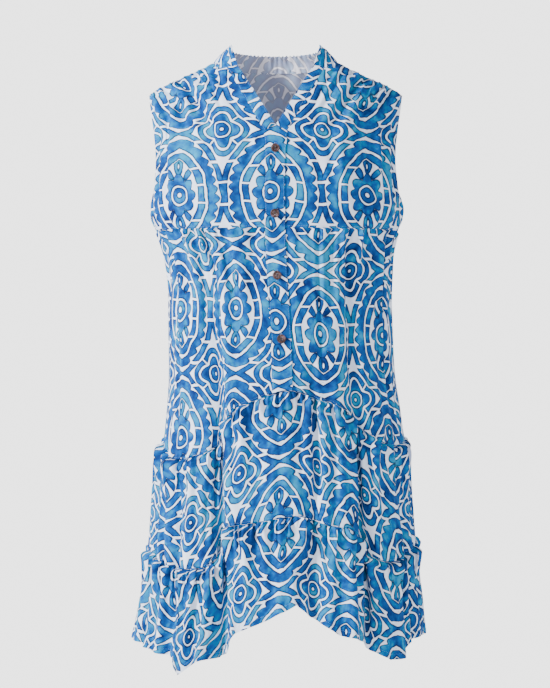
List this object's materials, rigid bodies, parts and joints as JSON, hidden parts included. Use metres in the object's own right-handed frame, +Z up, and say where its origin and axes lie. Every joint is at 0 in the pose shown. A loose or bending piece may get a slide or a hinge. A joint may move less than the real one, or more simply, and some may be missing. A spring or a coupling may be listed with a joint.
{
  "type": "sleeveless tiered kaftan dress",
  "caption": "Sleeveless knee-length kaftan dress with a V neck, stand collar, buttoned placket and two gathered tiers, hollow as worn",
  "frame": {"origin": "centre of the neck opening, level with the shoulder seams where they meet the collar, where the wearer's neck and shoulders hold the garment", "axes": "+Z up, -Y the front of the garment, +X the wearer's left"},
  "size_m": [0.4737, 0.3592, 0.978],
  "materials": {
    "printed_cloth": "soft matt viscose with a blue watercolour print on cool white, paler on its reverse",
    "shell_button": "polished brown shell-like button with a raised rim"
  },
  "bodies": {
    "root": {"front_yoke_left": "printed_cloth", "front_yoke_right": "printed_cloth", "front_body_left": "printed_cloth", "front_body_right": "printed_cloth", "back_body": "printed_cloth", "tier_2_front": "printed_cloth", "tier_2_back": "printed_cloth", "tier_3_front": "printed_cloth", "tier_3_back": "printed_cloth", "collar_stand": "printed_cloth", "neck_band_left": "printed_cloth", "neck_band_right": "printed_cloth", "placket_over": "printed_cloth", "placket_under": "printed_cloth", "button_1": "shell_button", "button_2": "shell_button", "button_3": "shell_button", "button_4": "shell_button"}
  },
  "joints": []
}
